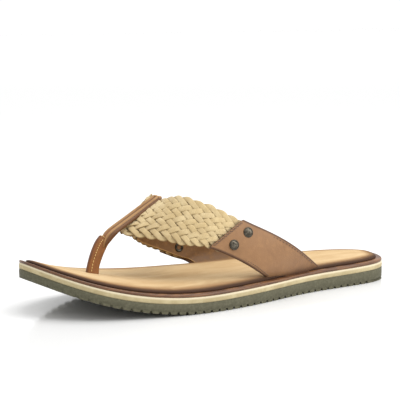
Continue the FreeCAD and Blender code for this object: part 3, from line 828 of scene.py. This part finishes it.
def stitch_across(build, side, station, start, end, pitch):
    """Slanted stitches across a strap, from one share of its width to another."""
    width = strap_width(side, np.array([station]))[0]
    count = int(width * abs(end - start) / pitch)
    for i in range(count):
        a, b = (start + (end - start) * (i + hole) / count for hole in HOLE_SHARES)
        first, _ = strap_points(side, station - 0.035, a, -0.6)
        second, _ = strap_points(side, station + 0.035, b, -0.6)
        add_stitch(build, first, second, 0.28)


def stitch_along(build, side, start, end, inset, pitch):
    """Stitches down a strap, inset from its front edge, or from its rear edge if negative."""
    stations, travel = strap_lengths(side, start, end)
    count = int(travel[-1] / pitch)
    for i in range(count):
        holes = [(i + hole) / count * travel[-1] for hole in HOLE_SHARES]
        ends_at = np.interp(holes, travel, stations)
        width = strap_width(side, ends_at)
        across = inset / width if inset > 0 else 1 + inset / width
        ends, _ = strap_points(side, ends_at, across, -0.2)
        add_stitch(build, ends[0], ends[1], 0.26)


def make_patch_stitches(side):
    build = Builder()
    stitch_across(build, side, PATCH_START + 0.06, 0.06, 0.94, 1.9)
    stitch_along(build, side, PATCH_START + 0.25, 6.7, -1.7, 2.4)
    stitch_along(build, side, PATCH_START + 0.25, 6.6, 1.7, 2.4)
    piece = fix_normals(build.make(f"{side}_patch_thread", DARK_THREAD, "thread_dark"))
    swinging(piece, f"{side}_patch_stitching")


# ---------------------------------------------------------------- centre strip
# Middle of the strip's top face: x, y, z and the half width there.
STRIP_LINE = [
    (82.4, -14.6, 38.8, 3.4), (82.2, -14.6, 42.4, 4.4), (79.6, -14.5, 47.2, 5.1),
    (74.6, -14.4, 51.4, 5.5), (65.5, -14.3, 56.6, 5.5), (53.5, -14.0, 63.6, 5.5),
    (42.6, -13.6, 70.0, 5.5), (39.4, -13.5, 71.6, 5.4), (37.0, -13.4, 71.2, 5.0),
    (36.2, -13.4, 69.4, 4.6),
]
STRIP_THICK, RIDGE = 3.3, 1.1
POST_Y = -15.0
SIDEWAYS = np.array([0.0, 1.0, 0.0])


def strip_frame(place):
    """The strip's top middle, the way up from its face and its half width."""
    before, here, after = spline(STRIP_LINE, np.array([place - 0.04, place, place + 0.04]))
    up = unit(np.cross(SIDEWAYS, after[:3] - before[:3]))
    return here[:3], up, here[3]


def strip_profile():
    """Across the face, -1 to 1: flat margins, two rounded ridges and the channel between."""
    share = np.linspace(-1, 1, 61)
    ridge = np.exp(-((np.abs(share) - 0.5) / 0.2) ** 4)
    fall = 0.5 * smooth_step(np.abs(share), 0.86, 1.0)
    return share, RIDGE * ridge - fall, ridge


def make_strip():
    """Its channel carries painted shade: the ridges count as far from a cut edge, and the channel as
    near one.
    """
    share, relief, ridge = strip_profile()
    rows, edges = [], []
    for place in np.linspace(0, len(STRIP_LINE) - 1, 110):
        centre, up, half = strip_frame(place)
        thick = STRIP_THICK * (0.35 + 0.65 * smooth_step(place, 0.0, 1.6))
        flat = SIDEWAYS * (share * half)[:, None]
        face_points = centre + flat + up * (relief - RIDGE)[:, None]
        back_points = centre + flat[::-1] - up * thick
        rows.append(np.concatenate([face_points, back_points]))
        # Low in the channel, so the edge colour paints shade there; high on the ridges.
        channel_shade_mark = 0.3 + 1.9 * ridge
        edges.append(np.concatenate([np.minimum(channel_shade_mark, (1 - np.abs(share)) * 12), channel_shade_mark * 0]))
    build = Builder("edge")
    build.loft(np.array(rows), edge=np.array(edges))
    piece = fix_normals(build.make("centre_strip_leather", STRIP_LEATHER, "strip_leather"))
    swinging(piece, "centre_strip")


# Underside of the strip's lower end, where it closes on the post: x, z, half depth, half width.
YOKE_LINE = [
    (81.2, 40.6, 3.1, 2.2), (79.4, 43.0, 3.4, 2.7), (76.4, 46.0, 3.2, 3.6),
    (72.4, 48.9, 2.4, 4.3), (67.6, 51.9, 1.5, 4.6), (62.0, 55.4, 0.9, 4.6),
]


def make_yoke():
    """Leather folded round under the strip, from the post up to where the braids part."""
    angles = np.linspace(0, 2 * np.pi, 32, endpoint=False)
    rows, edges = [], []
    for place in np.linspace(0, len(YOKE_LINE) - 1, 40):
        before, here, after = spline(YOKE_LINE, np.array([place - 0.05, place, place + 0.05]))
        run = unit(np.array([after[0] - before[0], 0.0, after[1] - before[1]]))
        up = np.array([-run[2], 0.0, run[0]])
        up = -up if up[2] < 0 else up
        centre = np.array([here[0], POST_Y + 0.3, here[1]])
        rows.append(centre + up * (np.sin(angles) * here[2])[:, None]
                    + SIDEWAYS * (np.cos(angles) * here[3])[:, None])
        edges.append(np.full(len(angles), 3.0))
    build = Builder("edge")
    build.loft(np.array(rows), edge=np.array(edges))
    swinging(fix_normals(build.make("strip_yoke", POST_LEATHER, "post_leather")))


def on_strip(place, y, lift):
    """A point over the strip's flat margin."""
    centre, up, _ = strip_frame(place)
    return centre + SIDEWAYS * y + up * (lift - RIDGE)


def make_strip_thread():
    """A row along each margin, and a bar across the strip's upper end."""
    build = Builder()
    places = np.linspace(2.2, 6.6, 34)
    for y in (-4.75, 4.75):
        for a, b in zip(places[:-1], places[1:]):
            end = on_strip(a + (b - a) * 0.65, y, 0.05)
            add_stitch(build, on_strip(a, y, 0.05), end, 0.22)
    for i in range(5):
        y = -3.6 + i * 1.8
        add_stitch(build, on_strip(6.72, y - 0.6, 0.6), on_strip(6.75, y + 0.6, 0.6), 0.24)
    piece = fix_normals(build.make("centre_strip_thread", DARK_THREAD, "thread_dark"))
    swinging(piece, "centre_strip_stitching")


# ---------------------------------------------------------------- toe post
# Centre x, centre z, lean of the section in degrees, half depth, half width.
POST_LINE = [
    (90.2, 18.0, 0, 4.9, 2.9), (89.9, 20.8, 2, 4.75, 2.7), (89.1, 25.5, 8, 4.5, 2.4),
    (87.2, 31.5, 16, 4.6, 2.35), (85.0, 36.6, 26, 4.7, 2.35), (82.9, 40.4, 36, 4.7, 2.4),
    (80.7, 43.4, 44, 4.3, 2.55), (80.2, 44.0, 44, 4.0, 2.3),
]


def leaning(piece, *nodes):
    """A piece of the toe post: rooted in the front of the sole, leaning above it."""
    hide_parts(*nodes)
    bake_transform(piece)


def post_section(place):
    """Middle, forward direction, half depth and half width of the post's section."""
    x, z, lean, depth, width = spline(POST_LINE, np.array([place]))[0]
    lean = math.radians(lean)
    return np.array([x, POST_Y, z]), np.array([math.cos(lean), 0, math.sin(lean)]), depth, width


def make_post():
    angles = np.linspace(0, 2 * np.pi, 44, endpoint=False)
    a, b = blunt(np.cos(angles), 0.62), blunt(np.sin(angles), 0.62)
    rows, edges = [], []
    for place in np.linspace(0, len(POST_LINE) - 1, 70):
        centre, forward, depth, width = post_section(place)
        rows.append(centre + forward * (a * depth)[:, None] + SIDEWAYS * (b * width)[:, None])
        edges.append(np.minimum((1 - np.abs(a)) * depth + 0.15, (7.02 - place) * 2.6))
    build = Builder("edge")
    build.loft(np.array(rows), edge=np.array(edges))
    piece = fix_normals(build.make("toe_post_leather", POST_LEATHER, "post_leather"))
    leaning(piece, "post_leather", "post_webbing")


def make_post_thread():
    """A row up each side, and a bar tack where the post meets the strip."""
    build = Builder()
    places = np.linspace(1.5, 5.9, 14)
    for side in (-1, 1):
        for a, b in zip(places[:-1], places[1:]):
            ends = []
            for place in (a, a + (b - a) * 0.68):
                centre, forward, depth, width = post_section(place)
                ends.append(centre + forward * depth * 0.45 + SIDEWAYS * (side * (width + 0.02)))
            add_stitch(build, *ends, 0.27)
    centre, forward, depth, _ = post_section(6.3)
    out = np.array([-0.55, 0, 0.83]) * 0.9
    for i in range(5):
        y = SIDEWAYS * ((i - 2) * 0.95)
        start, end = (centre + forward * (depth * reach) + y + out for reach in (0.2, 0.75))
        add_stitch(build, start, end, 0.27)
    piece = fix_normals(build.make("toe_post_thread", LIGHT_THREAD, "thread_light"))
    leaning(piece, "post_stitching")


# ---------------------------------------------------------------- the sandal
make_outsole()
make_tread()
make_midsole()
make_board()
make_footbed()
for strap_side in STRAP_FOOT:
    make_braid(strap_side)
    make_patch(strap_side)
    make_lining(strap_side)
    make_rivets(strap_side)
    make_patch_stitches(strap_side)
make_strip()
make_yoke()
make_strip_thread()
make_post()
make_post_thread()

KEPT = {"lateral_strap_tab": LINING_LEATHER, "medial_strap_tab": LINING_LEATHER,
        "post_stem": WEBBING, "post_anchor": PLASTIC}
for kept_node, kept_finish in KEPT.items():
    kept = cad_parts[kept_node]
    kept.data.materials.clear()
    kept.data.materials.append(kept_finish)


# ---------------------------------------------------------------- floor, light, camera
def add_floor():
    mesh = bpy.data.meshes.new("floor")
    half = 6.0
    corners = [(-half, -half, 0), (half, -half, 0), (half, half, 0), (-half, half, 0)]
    mesh.from_pydata(corners, [], [(0, 1, 2, 3)])
    gloss = Finish("white_acrylic", 0.12, Specular_IOR_Level=0.5, Base_Color=(0.8, 0.8, 0.8, 1))
    mesh.materials.append(gloss.material)
    floor = bpy.data.objects.new("floor", mesh)
    bpy.context.scene.collection.objects.link(floor)


def facing(place, target):
    return (Vector(target) - Vector(place)).to_track_quat("-Z", "Y").to_euler()


def add_softbox(name, place, target, width, height, power):
    data = bpy.data.lights.new(name, "AREA")
    data.shape = "RECTANGLE"
    data.size, data.size_y = width, height
    data.energy = power
    lamp = bpy.data.objects.new(name, data)
    lamp.location = place
    lamp.rotation_euler = facing(place, target)
    bpy.context.scene.collection.objects.link(lamp)


def add_world():
    world = bpy.data.worlds.new("studio")
    world.use_nodes = True
    back = world.node_tree.nodes["Background"]
    back.inputs["Color"].default_value = (1, 1, 1, 1)
    back.inputs["Strength"].default_value = 1.05
    bpy.context.scene.world = world


def add_camera():
    data = bpy.data.cameras.new("camera")
    data.lens = 135
    data.sensor_width = 36
    camera = bpy.data.objects.new("camera", data)
    place = (0.5719, 0.8797, 0.2130)
    camera.location = place
    camera.rotation_euler = facing(place, (0.0115, 0.0, 0.0679))
    bpy.context.scene.collection.objects.link(camera)
    bpy.context.scene.camera = camera


add_floor()
add_world()
add_softbox("key_above", (-0.15, 0.1, 1.1), (0.0, 0, 0.02), 0.9, 0.9, 8.5)
add_softbox("fill_heel_side", (-0.7, 0.8, 0.6), (0.0, 0, 0.04), 0.6, 0.5, 6)
bpy.context.scene.view_settings.view_transform = "Standard"
add_camera()
